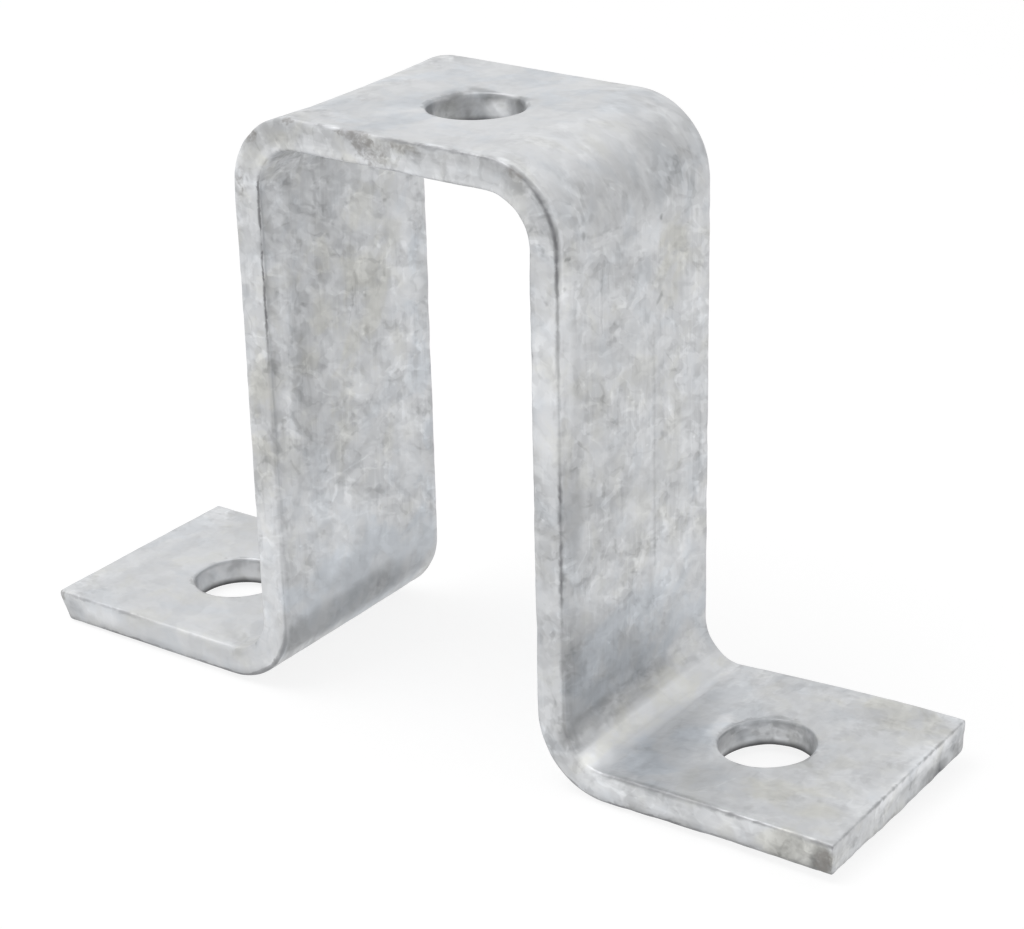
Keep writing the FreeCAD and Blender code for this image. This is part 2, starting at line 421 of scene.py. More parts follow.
# Where the zinc is darker (below nought) or lighter, as a share of its colour, painted highlights and
# painted shade among the patches
TONE = {
    "in front of crown hole": outer(-5, -8.5, 10, 2.5, 0.05),
    "pale start of right bend": outer(20.2, -2, 3.6, 18, 0.08),
    "belt over right bend": outer(27, 7, 4.5, 11, -0.1),
    "front of right bend": outer(27.5, -9, 4.5, 12, -0.06),
    # painted shade along the corner of the right bend
    "painted shade on corner of right bend": Patch((27, -19.4, 2.4), (9, 0.7, 0.7), -0.24),
    "pale strip by front edge": outer(48, -18.2, 15, 1.8, 0.2),
    "middle of right leg": outer(66, 4, 36, 7, 0.07),
    "back of right leg": outer(67, 16.5, 38, 4.5, 0.12),
    "high on right leg": outer(35.5, 2, 3, 5, 0.17),
    "pale patch on right leg": outer(53, 2.5, 3, 3.5, 0.09),
    "dark patch by front edge": outer(70, -17.2, 8.5, 3.2, -0.24),
    "bright blotches": outer(77.5, -3, 3.5, 7, 0.09),
    "lower bright blotches": outer(85.5, -9, 4.5, 8, 0.09),
    "bright patch low at back": outer(88.8, 9, 5.2, 5, 0.18),
    "front of right leg's foot": outer(95.5, -17, 4, 3, -0.18),
    "foot of right leg": outer(99, -6, 4, 15, -0.06),
    # painted shade low on the right leg, where it meets the lower bend
    "low on right leg": outer(102.8, -10, 2.8, 12, -0.13),
    "painted shade at lowest part of right leg": outer(106.6, -6, 2.6, 16, -0.27),
    "beside front edge": outer(104, -18.6, 9, 1.0, -0.12),
    # painted shade over the lower bend's band, and painted highlights on the band
    "painted shade over band": outer(109.6, -4, 1.2, 16, -0.1, 6.0),
    "painted highlight on lower bend": outer(113.9, 0, 3.3, 60, 0.15, 14.0),
    "painted highlight on lower half of band": outer(116.9, -2, 2.0, 24, 0.12, 6.0),
    "painted highlight at tip of band": outer(113.4, -16.8, 2.9, 3.4, 0.22),
    "painted white highlight at tip of band": Patch((113.2, -18.8, 2.4), (2.2, 1.6, 0.8), 0.2),
    # painted light where the right foot leaves the lower bend
    "start of right foot": outer(121.5, 0, 5.5, 24, 0.05),
    "pale start beside front edge": outer(119, -15, 2.4, 5, 0.1),
    "dull patch in front of hole": outer(130.5, -13, 3, 4, -0.1),
    "right of hole": outer(141, -3, 3, 9, -0.08),
    "back of right foot": outer(149, 15.5, 7.5, 4.5, -0.12),
    "front of right foot": outer(145.5, -12, 3.5, 3, -0.07),
    "dark side of right foot's hole": Patch((138.8, 5.0, -0.6), (2.4, 3.0, 2.6), -0.25),
    # painted highlight on the rolled rim beside the hole
    "painted highlight left of hole": outer(124.8, 1, 1.2, 5, 0.12),
    "bright end of right foot": outer(155, 2, 2.4, 14, 0.09),
    "burnished part of end": end_face(13.5, 1.2, 4.5, 1.2, 0.1),
    "pale top of end": end_face(3, 1.7, 12, 1.0, 0.32),
    "torn part of end": end_face(10, -1.6, 5, 1.0, -0.36),
    "low part of end": end_face(0, -2.4, 24, 0.6, -0.15),
    "back corner of end": end_face(17.8, -0.2, 2.6, 2.8, -0.28),
    "front corner of end": end_face(-16, 0, 4.0, 1.0, -0.13),
    "oval on crown": outer(17.5, -5.5, 2.4, 1.0, -0.05),
    # painted light on the far wall of the crown hole
    "painted light in crown hole": Patch((0.8, 7.1, -0.4), (3.0, 2.2, 1.8), 0.42),
    "dark side of crown hole": Patch((-5.2, 4.0, 0.0), (3.0, 3.0, 3.0), -0.12),
    # painted shade over the rounding of the crown hole's far rim
    "painted shade on rim of crown hole, left": Patch((-5.7, 3.2, 2.2), (1.6, 2.0, 0.8), -0.18),
    "painted shade on rim of crown hole, middle": Patch((-1.8, 6.9, 2.0), (3.4, 0.9, 1.0), -0.36),
    "painted shade on rim of crown hole, right": Patch((4.4, 6.4, 2.0), (2.8, 1.0, 1.0), -0.32),
    # painted shade along the right foot's front corner
    "painted shade on front corner of right foot": Patch((127, -19.6, 2.4), (12, 0.6, 0.5), -0.28),
    "inside of left leg": inner(-66, 0, 32, 24, 0.06),
    # painted shade under the crown
    "painted shade on left leg under crown": inner(-31.5, -5, 3, 14, -0.08),
    "pale patch under left bend": inner(-35.8, -15.8, 2.4, 3.0, 0.2),
    "break in bright strip": inner(-47, 10.5, 2.6, 2.6, -0.14),
    "third bright patch": inner(-77, 0, 3, 3, 0.1),
    "bright end of left foot": outer(-153.5, 0, 3, 24, 0.07),
    "greenish smudge": inner(-37.5, -7, 3, 4, -0.07),
    "dull middle of left leg": inner(-47.5, -4, 3.5, 6, -0.07),
    "pale front strip of left leg": inner(-52, -16.4, 26, 2.0, 0.15),
    "dull strip beside it": inner(-58, -12, 17, 2.2, -0.08),
    "bright back of left leg": inner(-65, 13.8, 34, 5, 0.11),
    "first bright patch low on leg": inner(-91.5, -8.5, 8, 10.5, 0.21),
    "second bright patch": inner(-68, -2, 5, 7, 0.07),
    "smudge at strip": inner(-70.5, 15.0, 2.8, 1.6, -0.2),
    "smudge at front": inner(-59, -18.2, 2.6, 1, -0.2),
    "whitish streak": inner(-66, -16, 4, 0.8, 0.12),
    # painted shade in the left leg's lower bend, where it turns to face down
    "painted shade in bend of left leg": inner(-105.9, -5, 2.8, 22, -0.38),
    "bright length of right leg's edge": flank(52, 0.4, 14, 3.0, 0.25),
    "top of right bend's edge": flank(22, 1.9, 6, 1.4, -0.2),
    "inside of right bend's edge": flank(22, -2.0, 4, 1.1, 0.16),
    "middle of right bend's edge": flank(23, 0.2, 3, 0.9, -0.1),
    "side of right bend's edge": flank(29, 2.0, 3, 1.0, -0.12),
    "dull length of right leg's edge": flank(77, 0.4, 5, 2.6, -0.15),
    "low on right leg's edge": flank(104, -1.0, 5, 1.8, 0.1),
    "outside of lower bend's edge": flank(107, 1.9, 3.4, 1.0, -0.25),
    "bright edge of right foot": flank(118, 0.8, 5.4, 2.0, 0.2),
    # painted shade along the right foot's low edge
    "painted shade on low edge of right foot": flank(127, -2.0, 8, 0.9, -0.2),
    "painted shade on low edge farther out": flank(138, -2.0, 17, 0.9, -0.18),
    "second bright edge": flank(140.5, 0.8, 6, 2.4, 0.19),
    "brownish edge": flank(149, -0.4, 3.6, 2.2, -0.14),
    "dark corner of right foot": flank(154.4, -0.1, 2.0, 2.2, -0.5),
    "crown's front edge, low": flank(-2, -1.7, 18, 1.3, 0.2),
    "crown's front edge, high": flank(9, 1.6, 10, 1.4, -0.14),
    "middle of crown's front edge": flank(11, 0, 4, 1.0, 0.12),
    "left bend's edge": flank(-22, 0.8, 4.4, 2.2, -0.13),
    "inside of left bend's edge": flank(-25, -1.9, 6, 1.0, 0.17),
    "outside of left leg's edge": flank(-29, 1.9, 2.6, 1.0, 0.24),
    "inside of left lower bend's edge": flank(-108.5, -2.0, 2.6, 1.0, 0.17),
    "high on left leg's edge": flank(-40, 0.4, 13, 3.0, 0.09),
    "dull length of left leg's edge": flank(-68, -1.0, 10, 2.2, -0.09),
    "low on left leg's edge": flank(-98, -0.4, 18, 3.0, 0.19),
    # painted shade along the low edges of the left lower bend and foot
    "painted shade on edge of left lower bend": flank(-115, -2.0, 4, 0.9, -0.15),
    "painted shade on low edge of left foot": flank(-135, -2.0, 24, 0.9, -0.2),
    "bright edge of left foot": flank(-146, 0.6, 4.5, 1.5, 0.18),
    "corner of left foot": flank(-154, 0, 2.2, 3.0, -0.16),
    # painted highlights on the corners
    "first painted glint": Patch((-9.9, -19.5, 2.35), (1.7, 0.4, 0.3), 0.35),
    "second painted glint": Patch((8.2, -19.4, 2.4), (1.9, 0.45, 0.35), 0.36),
    "third painted glint": Patch((19.0, -19.3, 2.4), (1.0, 0.8, 0.5), 0.5),
    "painted highlight by edge": outer(34, -18.7, 5, 0.35, 0.09),
    "painted highlight on rim of left foot": outer(-119, -19.2, 9, 0.4, 0.08),
}

# Where it is warmer (above nought) or bluer
WARMTH = {
    "beige patch": outer(40, 9, 9, 4, 0.8),
    "foot of right leg": outer(98, -2, 8, 22, -0.6),
    "band of lower bend": outer(112.7, 0, 3.0, 22, 0.3),
    "above band": outer(108.5, 2, 1.8, 10, 0.4),
    "start of right foot": outer(122, -8, 6, 11, -0.6),
    "olive patch": outer(144, -12, 8, 4, 0.7),
    "back of right foot": outer(146, 16, 10, 4, 0.4),
    "crown": outer(0, 0, 20, 22, -0.45),
    "middle of left leg": inner(-56, -2, 20, 11, 0.4),
    "back strip of left leg": inner(-68, 17, 38, 4, -0.3),
    "foot of left leg": inner(-103, -2, 8, 22, -0.9),
    "crown's front edge": flank(-2, 0.5, 12, 3, 0.25),
    "left bend's edge": flank(-24, 0.5, 6, 3, 0.6),
    "left leg's edge": flank(-70, 0, 14, 3, 0.5),
    "right foot's corner": flank(150, 0, 7, 3, 1.0),
}

# Where brown-grey dirt has settled in pits
DIRT = {
    "cluster on crown's edge": flank(-4.2, 1.3, 2.3, 1.4, 0.85),
    "specks below it": flank(-2.5, -0.6, 3.6, 1.8, 0.5),
    "right of cluster": flank(2.5, 1.4, 5.0, 0.9, 0.45),
    "line under first painted glint": Patch((-7.4, -19.9, 2.0), (1.8, 0.5, 0.35), 0.7),
    "cluster at right bend": Patch((21.2, -19.9, 2.1), (1.4, 1.0, 0.8), 0.8),
    "spot on left bend": flank(-24, 1.9, 1.2, 0.9, 0.9),
    "notch": Patch((-17.4, -19.8, 2.3), (0.9, 0.8, 0.7), 0.9),
    "right foot's edge": flank(149.5, 0.3, 4.0, 2.0, 0.28),
    "right foot's corner": flank(154.8, -0.3, 1.4, 2.0, 1.0),
    "left foot's corner": flank(-155.8, 1.8, 1.2, 1.0, 0.8),
    "left leg's edge": flank(-31, 1.0, 3.0, 1.2, 0.4),
}

# How far from a corner its dark line of painted shade may lie
CORNER_REACH = 1.4


def edge_length(first, last, strength, above=HALF_THICKNESS):
    """A length of the bar's front corner, the outer one if nothing else is said."""
    middle = (first + last) / 2
    reach = ((last - first) / 2, CORNER_REACH, CORNER_REACH)
    return Patch((middle, -HALF_WIDTH, above), reach, strength)


# Where the corners carry a broken dark line of painted shade
EDGE_SHADE = {
    "crown, left": edge_length(-14, -5, 0.7),
    "crown, right": edge_length(-2, 21, 0.9),
    "right bend": edge_length(19, 36, 0.9),
    "right leg, high": edge_length(31, 58, 0.6),
    "right leg, middle": edge_length(54, 68, 0.3),
    "right leg, low": edge_length(64, 86, 0.9),
    "right leg's foot": edge_length(82, 112, 0.45),
    "right foot": edge_length(116, 157, 0.9),
    "left foot": edge_length(-157, -134, 0.6),
    "left leg, inside": edge_length(-58, -26, 1.0, -HALF_THICKNESS),
    "left foot, below": edge_length(-157, -100, 1.0, -HALF_THICKNESS),
    "right foot, below": edge_length(106, 157, 1.0, -HALF_THICKNESS),
    "right end": Patch((BAR_END, 0, HALF_THICKNESS), (CORNER_REACH, 24, CORNER_REACH), 0.75),
}

# Where the zinc lies smooth, without its crinkles
CALM = {
    "crown": outer(0, 0, 21, 30, 0.88),
    "start of right bend": outer(23, 0, 4, 30, 0.4),
    "left foot": Patch((-134, 0, 0), (28, 40, 6), 0.9),
    "right foot": outer(135, 0, 25, 30, 0.6),
    "dark patch on right leg": outer(71, -16.8, 7, 2.6, 0.7),
    "foot of right leg": outer(103, 0, 8, 24, 0.5),
    "band of lower bend": outer(113.5, 0, 3.6, 60, 0.6),
    "foot of left leg": inner(-103, 0, 8, 24, 0.6),
    "bright length of right leg's edge": flank(57, -0.4, 5, 1.8, 0.5),
}


def field(points, patches, wobble):
    """The sum of some patches at each point, their outlines made uneven by a wobble."""
    total = np.zeros(len(points))
    for patch in patches.values():
        apart = (points - np.array(patch.place)) / np.array(patch.reach)
        distance = np.sum(apart * apart, axis=1) * (1 + UNEVENNESS * wobble / patch.sharpness)
        total += patch.strength * np.exp(-(distance**patch.sharpness))
    return total


class Sinking(NamedTuple):
    """Noise that sinks the zinc's surface, fully from its high level on and not below its low one."""

    depth: float
    length: float
    shift: float
    low: float
    high: float


# The zinc's unevenness, from broad waves to pits, in millimetres
BROAD_WAVE = Sinking(0.08, 13.0, 3.1, -0.2, 0.8)
EDGE_WAVE = Sinking(0.09, 4.5, 5.3, -0.2, 0.7)
LUMPS = Sinking(0.07, 2.6, 7.7, -0.4, 0.8)
CRINKLE = Sinking(0.03, 1.3, 11.3, -0.5, 0.8)
PITS = Sinking(0.16, 1.5, 23.0, -0.3, 0.5)

# How rough the sheared ends are, burnished above and torn below, in millimetres
BURNISHED_DEPTH = 0.08
TORN_DEPTH = 0.35
TORN_LENGTH = 1.6
TORN_SHIFT = 17.9
TORN_START_BELOW = -0.8
TORN_FULL_BELOW = 1.0
END_OUTSIDE = 0.4
END_INSIDE = 1.2

# How the zinc's texture lies on the legs, turned from past their top to short of their foot
GRAIN_SLANT = 0.3
GRAIN_STRETCH = 0.33
GRAIN_FULL = 8.0
GRAIN_FADE = 10.0

# How much of its crinkles the calmest zinc loses
CALMEST = 0.9


def dish(points, normals):
    """How deep the surface is drawn in behind the upper rims of the holes."""
    along, across, _ = points.T
    deepest = {-FOOT_HOLE_ALONG: LEFT_DISH, CROWN_HOLE_SHIFT: CROWN_DISH, FOOT_HOLE_ALONG: RIGHT_DISH}
    depth = np.zeros(len(points))
    for hole, deep in deepest.items():
        reach = np.hypot(along - hole, across) - HOLE_RADIUS
        slope = 1 - ramp(reach, 0, DISH_WIDTH)
        depth += deep * slope * ramp(across, DISH_START, DISH_FULL)
    return depth * np.clip(normals[:, 2], 0, 1)


def grain(points):
    """Where the zinc's texture is taken from: on the legs it lies aslant, as the zinc ran off."""
    along, across, above = points.T
    run = np.abs(along)
    on_leg = ramp(run, 0, LEG_START + GRAIN_FULL) * (1 - ramp(run, LEG_END - GRAIN_FADE, BAR_END))
    aslant = along - GRAIN_SLANT * across * on_leg * np.sign(along)
    return np.stack([aslant, across * (1 - GRAIN_STRETCH * on_leg), above], axis=1)


def sinking(points, kind):
    """How deep one kind of unevenness lies at each point."""
    return kind.depth * ramp(noise_at(points, kind.length, kind.shift), kind.low, kind.high)


def surface_depth(points, normals, lively, dirt):
    """How deep each point sinks along its normal."""
    depth = sinking(points, BROAD_WAVE)
    depth += lively * (sinking(points, LUMPS) + sinking(points, CRINKLE))
    depth += sinking(points, EDGE_WAVE) * lively * np.abs(normals[:, 1])
    depth += sinking(points, PITS) * dirt
    near_end = ramp(np.abs(points[:, 0]), BAR_END - END_INSIDE, BAR_END - END_OUTSIDE)
    on_end = np.abs(normals[:, 0]) * near_end
    rough = (1 + noise_at(points, TORN_LENGTH, TORN_SHIFT)) / 2
    torn = ramp(-points[:, 2], TORN_START_BELOW, TORN_FULL_BELOW)
    return depth * (1 - on_end) + on_end * rough * (BURNISHED_DEPTH + TORN_DEPTH * torn)


def add_attribute(mesh, name, values):
    """Keeps three values for each point of the mesh, for its material."""
    attribute = mesh.attributes.new(name, "FLOAT_VECTOR", "POINT")
    attribute.data.foreach_set("vector", np.asarray(values, np.float32).ravel())


def make_bar():
    """The bent bar, with its zinc's marks kept at its points."""
    points, faces = clean_arrays(BarMesh())
    mesh = facing_outward(points, faces)
    normals = np.empty(len(points) * 3, np.float32)
    mesh.vertex_normals.foreach_get("vector", normals)
    normals = normals.reshape(-1, 3)
    wobble = noise_at(points, WOBBLE_LENGTH, WOBBLE_SHIFT)
    lively = 1 - np.clip(field(points, CALM, wobble), 0, CALMEST)
    dirt = np.clip(field(points, DIRT, wobble), 0, 1)
    depth = surface_depth(points, normals, lively, dirt) + dish(points, normals)
    bent = bend(shear_ends(points - normals * depth[:, None])) * METRES
    mesh.vertices.foreach_set("co", bent.astype(np.float32).ravel())
    tone = field(points, TONE, wobble)
    warmth = field(points, WARMTH, wobble)
    edge_shade = np.clip(field(points, EDGE_SHADE, wobble), 0, 1)
    add_attribute(mesh, "bar", points)
    add_attribute(mesh, "grain", grain(points))
    add_attribute(mesh, "facing", normals)
    add_attribute(mesh, "zinc", np.stack([lively, tone, warmth], axis=1))
    add_attribute(mesh, "marks", np.stack([dirt, edge_shade, np.zeros(len(points))], axis=1))
    mesh.shade_smooth()
    mesh.update()
    piece = bpy.data.objects.new("bent_bar", mesh)
    bpy.context.scene.collection.objects.link(piece)
    return piece


class Stroke(NamedTuple):
    """A straight mark from one place to another, in millimetres of the straight bar."""

    start: tuple
    end: tuple
    width: float
    strength: float


# How long a speck on the front edge is, along the edge and up it
SPECK_LENGTH = 0.3
SPECK_RISE = 0.1


def outer_mark(start, end, width, strength):
    """A mark on the crown's top, the legs' outsides or the feet's tops."""
    return Stroke((*start, HALF_THICKNESS), (*end, HALF_THICKNESS), width, strength)


def inner_mark(start, end, width, strength):
    """A mark on the legs' insides."""
    return Stroke((*start, -HALF_THICKNESS), (*end, -HALF_THICKNESS), width, strength)


def flank_speck(along, above, width, strength):
    """A speck on the bar's front edge."""
    end = (along + SPECK_LENGTH, -HALF_WIDTH, above + SPECK_RISE)
    return Stroke((along, -HALF_WIDTH, above), end, width, strength)


# Scratches, drawing lines and specks, darker below nought, with painted highlights beside two lines
STROKES = {
    "score down right leg": outer_mark((50, 4.3), (88, 4.7), 0.6, -0.13),
    "painted highlight along score": outer_mark((54, 3.3), (87, 3.7), 0.6, 0.05),
    "upper line": outer_mark((36.8, -9.0), (46.5, -9.2), 0.3, -0.13),
    "painted highlight along upper line": outer_mark((37, -9.7), (46, -9.8), 0.3, 0.08),
    "short upper line": outer_mark((38, -7.4), (40.2, -7.5), 0.28, -0.1),
    "light scratch": outer_mark((74.2, -12.8), (78.4, -12.8), 0.28, 0.14),
    "first slanting scratch": outer_mark((80.6, -16.2), (78.4, -13.6), 0.28, 0.13),
    "second slanting scratch": outer_mark((81.4, -9.4), (79.4, -7.6), 0.3, 0.13),
    "third slanting scratch": outer_mark((81.2, -5.2), (80.0, -3.4), 0.25, 0.1),
    "wiggle": outer_mark((31.4, -12.4), (32.2, -4), 0.4, -0.14),
    "speck by beige patch": outer_mark((33.5, 6.2), (33.7, 6.3), 0.6, -0.45),
    "speck at bend": outer_mark((31, -13.5), (31.2, -13.3), 0.7, -0.4),
    "pair of specks": outer_mark((45.5, 6.5), (46.4, 5.2), 0.6, -0.3),
    "specks by front edge": outer_mark((33, -17.8), (33.1, -16.9), 0.5, -0.35),
    "lower speck": outer_mark((36.8, -18.2), (37.1, -18.1), 0.5, -0.3),
    "scratch on right foot": outer_mark((133.8, -14.2), (135, -11.5), 0.28, 0.08),
    "left speck on right foot": outer_mark((142.2, -14), (142.6, -13.8), 0.5, -0.12),
    "right speck on right foot": outer_mark((148.5, -10.8), (149, -10.9), 0.5, -0.12),
    "curved scratch, upper": inner_mark((-45, -3.8), (-46.8, -2.2), 0.28, -0.15),
    "curved scratch, middle": inner_mark((-52.6, 0.6), (-55.4, 0.3), 0.28, -0.15),
    "curved scratch, lower": inner_mark((-55.4, 0.3), (-58.2, -0.8), 0.28, -0.13),
    "first feathered stroke": inner_mark((-72.6, -16.2), (-75, -14.4), 0.4, -0.16),
    "second feathered stroke": inner_mark((-76, -16.4), (-79, -14.6), 0.4, -0.14),
    "cross scratch": inner_mark((-82.6, -7.2), (-82, 3), 0.3, 0.09),
    "lower cross scratch": inner_mark((-86, -3), (-84.6, 1.5), 0.3, -0.1),
    "first speck on right edge": flank_speck(31.2, 0, 0.4, -0.25),
    "second speck on right edge": flank_speck(38, -1.8, 0.35, -0.2),
    "third speck on right edge": flank_speck(38.6, 0.4, 0.4, -0.2),
    "speck on left edge": flank_speck(-30.2, -0.4, 0.4, -0.25),
    "lower speck on left edge": flank_speck(-36.8, 1.8, 0.45, -0.25),
}


class Shader:
    """Short ways to add and link the nodes of one material, or of the world."""

    def __init__(self, owner):
        owner.use_nodes = True
        self.tree = owner.node_tree
        self.tree.nodes.clear()

    def add(self, kind, fed=(), **settings):
        """A new node, its sockets fed with values or with what other nodes put out."""
        node = self.tree.nodes.new(kind)
        for name, value in settings.items():
            setattr(node, name, value)
        for socket, value in dict(fed).items():
            if isinstance(value, bpy.types.NodeSocket):
                self.tree.links.new(value, node.inputs[socket])
            else:
                node.inputs[socket].default_value = value
        return node

    def math(self, operation, *values, clamp=False):
        node = self.add("ShaderNodeMath", enumerate(values), operation=operation, use_clamp=clamp)
        return node.outputs[0]

    def vector(self, operation, *values):
        node = self.add("ShaderNodeVectorMath", enumerate(values), operation=operation)
        return node.outputs["Value" if operation in ("LENGTH", "DOT_PRODUCT") else "Vector"]

    def scaled(self, vector, scale):
        fed = {0: vector, "Scale": scale}
        return self.add("ShaderNodeVectorMath", fed, operation="SCALE").outputs["Vector"]

    def total(self, *values):
        result = values[0]
        for value in values[1:]:
            result = self.math("ADD", result, value)
        return result

    def product(self, *values):
        result = values[0]
        for value in values[1:]:
            result = self.math("MULTIPLY", result, value)
        return result

    def attribute(self, name):
        return self.add("ShaderNodeAttribute", attribute_name=name).outputs["Vector"]

    def parts(self, vector):
        return self.add("ShaderNodeSeparateXYZ", {0: vector}).outputs

    def step(self, value, low, high, bottom=0.0, top=1.0):
        """A smooth change from the bottom to the top between two limits of a value."""
        fed = enumerate((value, low, high, bottom, top))
        node = self.add("ShaderNodeMapRange", fed, interpolation_type="SMOOTHSTEP")
        return node.outputs["Result"]

    def swing(self, value, reach, most):
        """Noise made to swing from minus to plus the most, over a reach on both sides of its middle."""
        return self.step(value, 0.5 - reach, 0.5 + reach, -most, most)

    def noise(self, place, length, detail=2.0, roughness=0.5, distortion=0.0, stretch=(1, 1, 1)):
        """Noise whose blobs are about a length in millimetres across, longer where stretched."""
        scale = tuple(1.0 / (length * part) for part in stretch)
        fed = {
            "Vector": self.vector("MULTIPLY", place, scale),
            "Scale": 1.0,
            "Detail": detail,
            "Roughness": roughness,
            "Distortion": distortion,
        }
        return self.add("ShaderNodeTexNoise", fed).outputs

    def mix(self, share, first, second):
        """A share of the second colour over the first."""
        fed = {"Factor": share, 6: first, 7: second}
        return self.add("ShaderNodeMix", fed, data_type="RGBA").outputs[2]

    def strokes(self, place, marks):
        """The summed tone of straight marks at a place."""
        tone = 0.0
        for mark in marks:
            tone = self.math("ADD", self.stroke(place, mark), tone)
        return tone

    def stroke(self, place, mark):
        """A straight mark's tone at a place: its strength on the line, nought beyond its width."""
        span = Vector(mark.end) - Vector(mark.start)
        from_start = self.vector("SUBTRACT", place, mark.start)
        along_span = self.vector("DOT_PRODUCT", from_start, span)
        share = self.math("DIVIDE", along_span, span.length_squared, clamp=True)
        nearest = self.scaled(tuple(span), share)
        apart = self.vector("LENGTH", self.vector("SUBTRACT", from_start, nearest))
        return self.step(apart, 0.0, mark.width, mark.strength, 0.0)


def grey(level):
    return (level, level, level, 1.0)


COOL_ZINC = (0.600, 0.628, 0.662, 1.0)
PLAIN_ZINC = (0.645, 0.655, 0.668, 1.0)
WARM_ZINC = (0.650, 0.650, 0.622, 1.0)
DIRT_COLOUR = (0.285, 0.27, 0.258, 1.0)
# painted shade of the corners' dark line
SHADE_LINE_COLOUR = (0.235, 0.235, 0.245, 1.0)
# painted highlight of the corners' glints
PAINTED_GLINT_COLOUR = (0.86, 0.86, 0.86, 1.0)

# How long the zinc's clouds, blotches and flecks are, in millimetres
CLOUD_LENGTH = 15.0
HUE_LENGTH = 6.5
BLOTCH_LENGTH = 5.2
FLAKE_LENGTH = 2.8
MOTTLE_LENGTH = 1.8
LINE_LENGTH = 1.5
WANDER_LENGTH = 1.4
FLECK_LENGTH = 1.2
PIT_LENGTH = 1.1
STREAK_WIDTH = 0.8
STREAK_STRETCH = (7, 1, 1)
LINE_STRETCH = (1.6, 1, 1)
FLAKE_SIDE = (0.4, 0.6, 0.4)

# How much lighter or darker they are at most, as a share of the zinc's colour
CLOUD_TONE = 0.05
BLOTCH_TONE = 0.021
CRINKLED_TONE = 0.04
MOTTLE_TONE = 0.038
# the most painted light and shade on the flakes' sides
FLAKE_SHADING_TONE = 0.1
STREAK_TONE = 0.05
DARK_FLECK_TONE = 0.12
LIGHT_FLECK_TONE = 0.14

# How far the marks stray, and how wide the corners' painted shade line and the holes' walls are, in
# millimetres
WANDER = 0.9
CORNER_INSET = 0.2
LINE_WIDTH_BELOW = 0.3
LINE_WIDTH_ABOVE = 0.6
LOW_LINE_EXTRA = 0.45
LOW_LINE_FADE = 4.0
WALL_INSIDE = 0.35
WALL_OUTSIDE = 0.85

# The most that dirt and painted glints of highlight cover, and how the zinc shines
DIRT_COVER = 0.68
PAINTED_GLINT_COVER = 0.45
METALLIC = 0.6
PLAIN_ROUGHNESS = 0.39
LIVELY_ROUGHNESS = 0.05
CORNER_ROUGHNESS = 0.16
MARK_ROUGHNESS = 0.2
BUMP_STRENGTH = 0.5
BUMP_HEIGHT = 0.2


